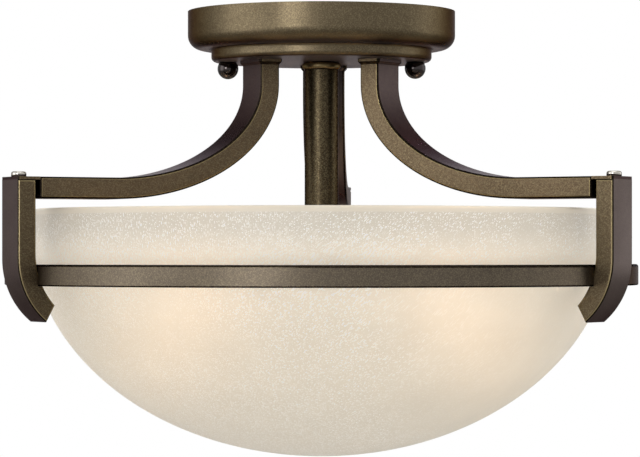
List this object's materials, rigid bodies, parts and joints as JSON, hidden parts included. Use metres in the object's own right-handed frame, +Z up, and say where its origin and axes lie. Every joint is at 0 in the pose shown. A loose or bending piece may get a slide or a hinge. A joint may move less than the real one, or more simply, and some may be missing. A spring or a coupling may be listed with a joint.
{
  "type": "semi-flush ceiling light",
  "caption": "Ceiling light with a stepped bronze canopy, swept flat arms and hooked posts that carry a ring and a cream frosted glass bowl over inner lamps.",
  "frame": {"origin": "centre of the mounting plate's two box slots on the ceiling plane, on the light's axis", "axes": "+Z up into the ceiling, +Y towards the rear arm, +X to the right as the picture sees it"},
  "size_m": [0.33, 0.3403, 0.232],
  "materials": {
    "bronze": "dark bronze, satin, fine gold fleck",
    "bowl_glass": "cream, frosted and mottled",
    "nickel": "bright nickel plate",
    "zinc_steel": "zinc plate",
    "green_screw": "green lacquer",
    "porcelain": "white glaze",
    "brass": "bright",
    "cap_metal": "satin",
    "bulb_glass": "frosted inside, lit warm white",
    "lead_jacket": "smooth jacket",
    "connector": "moulded"
  },
  "bodies": {
    "fixture": {"canopy": "bronze", "stem_collar": "bronze", "stem_tube": "bronze", "right_arm": "bronze", "rear_arm": "bronze", "left_arm": "bronze", "right_post": "bronze", "rear_post": "bronze", "left_post": "bronze", "ring": "bronze", "post_screws": "nickel", "ring_screws": "nickel", "mounting_plate": "zinc_steel", "canopy_studs": "zinc_steel", "stud_lock_nuts": "zinc_steel", "upper_nipple": "zinc_steel", "lower_nipple": "zinc_steel", "nipple_lock_washer": "zinc_steel", "nipple_lock_nut": "zinc_steel", "strap_lock_nut": "zinc_steel", "arm_screws": "zinc_steel", "arm_washers": "zinc_steel", "socket_strap": "zinc_steel", "lampholder_screws": "zinc_steel", "ground_screw": "green_screw", "left_lampholder": "porcelain", "right_lampholder": "porcelain", "left_socket_shell": "brass", "right_socket_shell": "brass", "left_socket_contact": "brass", "right_socket_contact": "brass", "left_lead": "lead_jacket", "right_lead": "lead_jacket", "wire_connectors": "connector"},
    "left_ball_nut": {"left_ball_nut": "bronze"},
    "right_ball_nut": {"right_ball_nut": "bronze"},
    "left_bulb": {"left_bulb_cap": "cap_metal", "left_bulb_glass": "bulb_glass"},
    "right_bulb": {"right_bulb_cap": "cap_metal", "right_bulb_glass": "bulb_glass"},
    "glass_bowl": {"glass_bowl": "bowl_glass"}
  },
  "joints": [
    {"name": "left_ball_nut_turn", "type": "hinge", "parent": "fixture", "child": "left_ball_nut", "pos_m": [-0.049, 0, -0.0296], "axis": [0, 0, 1], "continuous": true},
    {"name": "right_ball_nut_turn", "type": "hinge", "parent": "fixture", "child": "right_ball_nut", "pos_m": [0.049, 0, -0.0296], "axis": [0, 0, 1], "continuous": true},
    {"name": "left_bulb_turn", "type": "hinge", "parent": "fixture", "child": "left_bulb", "pos_m": [-0.02022, 0, -0.11526], "axis": [-0.766, 0, -0.6428], "continuous": true},
    {"name": "right_bulb_turn", "type": "hinge", "parent": "fixture", "child": "right_bulb", "pos_m": [0.02022, 0, -0.11526], "axis": [0.766, 0, -0.6428], "continuous": true},
    {"name": "glass_lift", "type": "slide", "parent": "fixture", "child": "glass_bowl", "axis": [0, 0, 1], "range_m": [0, 0.0041]}
  ]
}
